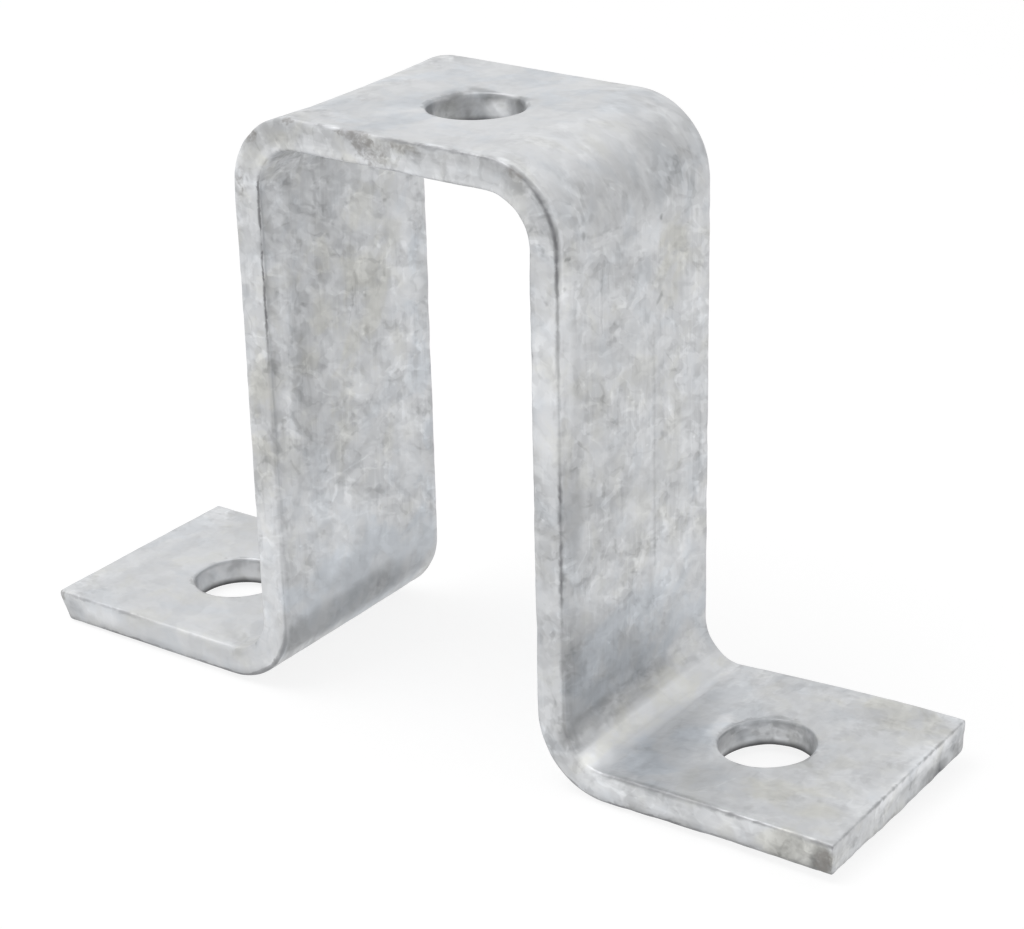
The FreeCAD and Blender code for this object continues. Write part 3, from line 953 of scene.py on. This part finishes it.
def zinc_material():
    """Galvanised zinc, made of noise and of the marks that are kept at the bar's points, painted light
    and shade among them.
    """
    material = bpy.data.materials.new("galvanised_steel")
    shader = Shader(material)
    bar = shader.attribute("bar")
    lively, tone, warmth = shader.parts(shader.attribute("zinc"))
    dirt, edge_shade, _ = shader.parts(shader.attribute("marks"))
    along, across, above = shader.parts(bar)
    facing = shader.vector("ABSOLUTE", shader.attribute("facing"))
    facing_along, facing_across, facing_above = shader.parts(facing)

    # Marks with places of their own, their lines made uneven
    wander = shader.vector("SUBTRACT", shader.noise(bar, WANDER_LENGTH)["Color"], (0.5, 0.5, 0.5))
    traced = shader.vector("ADD", bar, shader.scaled(wander, WANDER))
    strokes = shader.strokes(traced, STROKES.values())

    # Fields of tone, from broad clouds to blotches, flecks and drawing lines, and painted light and
    # shade on the flakes' sides
    texture = shader.attribute("grain")
    cloud = shader.noise(bar, CLOUD_LENGTH, detail=3.0)["Fac"]
    blotch = shader.noise(texture, BLOTCH_LENGTH, detail=3.0, distortion=0.3)["Fac"]
    mottle = shader.noise(texture, MOTTLE_LENGTH, detail=1.0, roughness=0.4, distortion=0.3)["Fac"]
    fleck = shader.noise(texture, FLECK_LENGTH)["Fac"]
    streak = shader.noise(bar, STREAK_WIDTH, detail=0.0, stretch=STREAK_STRETCH)["Fac"]
    flake_shading = painted_flake_shading(shader, texture)
    patches = shader.noise(bar, HUE_LENGTH, detail=3.0, roughness=0.55, distortion=0.4)["Color"]
    hue_noise, activity, _ = shader.parts(patches)
    lively = shader.product(lively, shader.step(activity, 0.36, 0.62, 0.5, 1.4))
    crinkled = shader.math("ADD", shader.product(lively, 0.9), 0.1)
    level = shader.total(
        1.0,
        tone,
        strokes,
        shader.swing(cloud, 0.2, CLOUD_TONE),
        shader.swing(blotch, 0.04, BLOTCH_TONE),
        shader.product(crinkled, shader.swing(blotch, 0.08, CRINKLED_TONE)),
        shader.product(crinkled, shader.swing(mottle, 0.07, MOTTLE_TONE)),
        shader.product(lively, flake_shading, FLAKE_SHADING_TONE),
        shader.product(lively, shader.step(streak, 0.62, 0.74, 0.0, -STREAK_TONE)),
        shader.product(lively, shader.step(streak, 0.38, 0.26, 0.0, STREAK_TONE)),
        shader.product(lively, shader.step(fleck, 0.64, 0.80, 0.0, -DARK_FLECK_TONE)),
        shader.product(lively, shader.step(fleck, 0.36, 0.20, 0.0, LIGHT_FLECK_TONE)),
    )

    # Hue, warmer or bluer from patch to patch
    hue = shader.math("ADD", shader.swing(hue_noise, 0.2, 0.5), warmth)
    colour = shader.mix(shader.step(hue, 0.0, -1.0), PLAIN_ZINC, COOL_ZINC)
    colour = shader.mix(shader.step(hue, 0.0, 1.0), colour, WARM_ZINC)
    colour = shader.scaled(colour, level)

    # Dirt in pits, and along the corners a broken dark line of painted shade and painted glints of
    # highlight
    pit_noise = shader.noise(bar, PIT_LENGTH, detail=3.0, roughness=0.6, distortion=0.4)["Fac"]
    dirt_share = shader.step(shader.math("ADD", shader.product(dirt, 0.3), pit_noise), 0.5, 0.86)
    dirt_share = shader.product(dirt_share, shader.step(dirt, 0.0, 0.5), DIRT_COVER)
    line_noise = shader.noise(bar, LINE_LENGTH, 3.0, 0.6, 0.5, LINE_STRETCH)["Fac"]
    spread = shader.step(line_noise, 0.35, 0.65, -0.2, 0.12)
    off_corner = shader.math("SUBTRACT", from_corner(shader, bar), spread)
    run = shader.math("ABSOLUTE", along)
    low_down = shader.step(run, LEG_END - LOW_LINE_FADE, LEG_END + LOW_LINE_FADE)
    below = shader.product(shader.step(above, 0.0, -2.0), low_down, LOW_LINE_EXTRA)
    line_width = shader.step(above, -1.0, 1.0, LINE_WIDTH_BELOW, LINE_WIDTH_ABOVE)
    shade_line_share = shader.step(shader.math("SUBTRACT", off_corner, below), 0.0, line_width, 1.0, 0.0)
    shade_line_share = shader.product(shade_line_share, edge_shade, shader.step(blotch, 0.38, 0.56, 0.4, 0.78))
    near_corner = shader.step(off_corner, 0.1, 0.35, 1.0, 0.0)
    painted_glint_share = shader.product(near_corner, shader.step(line_noise, 0.44, 0.36))
    painted_glint_share = shader.product(painted_glint_share, shader.step(edge_shade, 0.6, 0.1), PAINTED_GLINT_COVER)
    colour = shader.mix(shade_line_share, colour, SHADE_LINE_COLOUR)
    colour = shader.mix(painted_glint_share, colour, PAINTED_GLINT_COLOUR)
    colour = shader.mix(dirt_share, colour, DIRT_COLOUR)

    # The holes' walls, sheared and less evenly coated, darker at random and with painted shade towards
    # their lower rims
    in_hole = hole_wall(shader, along, across, shader.step(line_noise, 0.35, 0.65, -0.35, 0.25))
    wall_bottom_shade = shader.step(above, -2.3, -1.0, 0.15, 1.0)
    wall_coating_and_shade = shader.product(shader.step(blotch, 0.4, 0.6, 0.76, 1.0), wall_bottom_shade)
    colour = shader.mix(in_hole, colour, shader.scaled(colour, wall_coating_and_shade))

    # The sheen, duller where the zinc is crinkled, rounded, dirty or lined
    flattest = shader.math("MAXIMUM", facing_across, facing_above)
    flattest = shader.math("MAXIMUM", facing_along, flattest)
    roughness = shader.total(
        PLAIN_ROUGHNESS,
        shader.step(mottle, 0.4, 0.6, 0.04, -0.03),
        shader.product(lively, LIVELY_ROUGHNESS),
        shader.step(flattest, 0.97, 0.75, 0.0, CORNER_ROUGHNESS),
        shader.product(shader.math("MAXIMUM", dirt_share, shade_line_share), MARK_ROUGHNESS),
    )
    bumps = {
        "Strength": BUMP_STRENGTH,
        "Distance": BUMP_HEIGHT * METRES,
        "Height": shader.product(crinkled, mottle),
    }
    looks = {
        "Base Color": colour,
        "Metallic": METALLIC,
        "Roughness": roughness,
        "Normal": shader.add("ShaderNodeBump", bumps).outputs["Normal"],
    }
    surface = shader.add("ShaderNodeBsdfPrincipled", looks).outputs["BSDF"]
    shader.add("ShaderNodeOutputMaterial", {"Surface": surface})
    return material


def painted_flake_shading(shader, place):
    """Painted light and shade on the sides of low flakes: above nought where they rise, below where
    they fall.
    """
    sides = []
    for moved in (place, shader.vector("ADD", place, FLAKE_SIDE)):
        lumps = shader.noise(moved, FLAKE_LENGTH, distortion=0.3)["Fac"]
        sides.append(shader.step(lumps, 0.47, 0.53))
    return shader.math("SUBTRACT", sides[1], sides[0])


def from_corner(shader, place):
    """How far a place is from the nearest long corner of the bar or edge of its ends."""
    folded = shader.vector("ABSOLUTE", place)
    corner = (0, HALF_WIDTH - CORNER_INSET, HALF_THICKNESS - CORNER_INSET)
    sides = shader.vector("SUBTRACT", folded, corner)
    ends = shader.vector("SUBTRACT", folded, (BAR_END, 0, HALF_THICKNESS))
    to_side = shader.vector("LENGTH", shader.vector("MULTIPLY", sides, (0, 1, 1)))
    to_end = shader.vector("LENGTH", shader.vector("MULTIPLY", ends, (1, 0, 1)))
    return shader.math("MINIMUM", to_side, to_end)


def hole_wall(shader, along, across, ragged):
    """One on the walls of the three holes, nought beyond their ragged rims."""
    off_crown = shader.math("ABSOLUTE", shader.math("SUBTRACT", along, CROWN_HOLE_SHIFT))
    run = shader.math("ABSOLUTE", along)
    off_foot = shader.math("ABSOLUTE", shader.math("SUBTRACT", run, FOOT_HOLE_ALONG))
    off_centre = shader.math("MINIMUM", off_crown, off_foot)
    across_square = shader.product(across, across)
    square = shader.math("ADD", shader.product(off_centre, off_centre), across_square)
    reach = shader.math("ADD", shader.math("SQRT", square), ragged)
    return shader.step(reach, HOLE_RADIUS + WALL_INSIDE, HOLE_RADIUS + WALL_OUTSIDE, 1.0, 0.0)


# The camera at the photograph's place, fitted to where the bracket's corners lie in it
CAMERA_AZIMUTH = 35.862
CAMERA_ELEVATION = 24.131
CAMERA_ROLL = -1.318
CAMERA_DISTANCE = 399.109
CAMERA_TARGET = (6.042, 0.0, 39.823)
CAMERA_LENS = 92.760
SENSOR_WIDTH = 36.0
NEAREST_SEEN = 0.01
FARTHEST_SEEN = 20.0


def add_camera():
    """The camera, from its angles in degrees and its distances in millimetres."""
    azimuth = math.radians(CAMERA_AZIMUTH)
    elevation = math.radians(CAMERA_ELEVATION)
    roll = math.radians(CAMERA_ROLL)
    distance = CAMERA_DISTANCE * METRES
    target = Vector(CAMERA_TARGET) * METRES
    flat = math.cos(elevation)
    back = Vector((math.sin(azimuth) * flat, -math.cos(azimuth) * flat, math.sin(elevation)))
    level = Vector((math.cos(azimuth), math.sin(azimuth), 0))
    upright = back.cross(level)
    right = level * math.cos(roll) + upright * math.sin(roll)
    up = upright * math.cos(roll) - level * math.sin(roll)
    data = bpy.data.cameras.new("camera")
    data.sensor_fit = "HORIZONTAL"
    data.sensor_width = SENSOR_WIDTH
    data.lens = CAMERA_LENS
    data.clip_start = NEAREST_SEEN
    data.clip_end = FARTHEST_SEEN
    camera = bpy.data.objects.new("camera", data)
    turn = Matrix((right, up, back)).transposed().to_4x4()
    camera.matrix_world = Matrix.Translation(target + back * distance) @ turn
    bpy.context.scene.collection.objects.link(camera)
    bpy.context.scene.camera = camera


def seen_directly(shader):
    """One for camera, glossy and transmission rays, else nought."""
    path = shader.add("ShaderNodeLightPath")
    seen = shader.math("MAXIMUM", path.outputs["Is Camera Ray"], path.outputs["Is Glossy Ray"])
    return shader.math("MAXIMUM", seen, path.outputs["Is Transmission Ray"])


# The studio: how bright its floor and sky are, the floor's size and place and the lamp's, in metres
FLOOR_GREY = 0.85
FLOOR_WHITE = 1.18
FLOOR_WHITE_SHARE = 0.68
FLOOR_HALF = 3.0
FLOOR_HEIGHT = -0.0001
SKY_DIFFUSE = 0.55
SKY_SEEN = 1.0
LAMP_PLACE = (-0.3, -0.3, 1.1)
LAMP_AIM = (0, 0, 0.04)
LAMP_SIZE = 0.7
LAMP_POWER = 4.0


def add_floor():
    """A pale floor that is seen nearly white, with a faint shadow of the bracket."""
    material = bpy.data.materials.new("studio_floor")
    shader = Shader(material)
    paint = shader.add("ShaderNodeBsdfDiffuse", {"Color": grey(FLOOR_GREY)}).outputs[0]
    white = shader.add("ShaderNodeEmission", {"Strength": FLOOR_WHITE}).outputs[0]
    share = shader.product(seen_directly(shader), FLOOR_WHITE_SHARE)
    both = shader.add("ShaderNodeMixShader", {"Fac": share, 1: paint, 2: white}).outputs[0]
    shader.add("ShaderNodeOutputMaterial", {"Surface": both})
    corners = [
        (side * FLOOR_HALF, depth * FLOOR_HALF, FLOOR_HEIGHT)
        for side, depth in ((-1, -1), (1, -1), (1, 1), (-1, 1))
    ]
    mesh = bpy.data.meshes.new("studio_floor")
    mesh.from_pydata(corners, [], [(0, 1, 2, 3)])
    mesh.materials.append(material)
    floor = bpy.data.objects.new("studio_floor", mesh)
    bpy.context.scene.collection.objects.link(floor)


def add_world():
    """A white sky that lights the bracket less than it shows."""
    world = bpy.data.worlds.new("studio")
    bpy.context.scene.world = world
    shader = Shader(world)
    strength = shader.step(seen_directly(shader), 0.0, 1.0, SKY_DIFFUSE, SKY_SEEN)
    sky = {"Color": grey(1.0), "Strength": strength}
    background = shader.add("ShaderNodeBackground", sky).outputs[0]
    shader.add("ShaderNodeOutputWorld", {"Surface": background})


def add_lamp():
    """A square soft box above the bracket, facing it."""
    data = bpy.data.lights.new("soft_box_above", "AREA")
    data.shape = "SQUARE"
    data.size = LAMP_SIZE
    data.energy = LAMP_POWER
    lamp = bpy.data.objects.new("soft_box_above", data)
    start = Vector(LAMP_PLACE)
    aim = Vector(LAMP_AIM) - start
    turn = aim.to_track_quat("-Z", "Y").to_matrix().to_4x4()
    lamp.matrix_world = Matrix.Translation(start) @ turn
    bpy.context.scene.collection.objects.link(lamp)


add_camera()
add_world()
add_floor()
add_lamp()

bar = make_bar()
bar.data.materials.append(zinc_material())
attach(bar, "root")
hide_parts("bracket")

bpy.context.scene.view_settings.view_transform = "Standard"
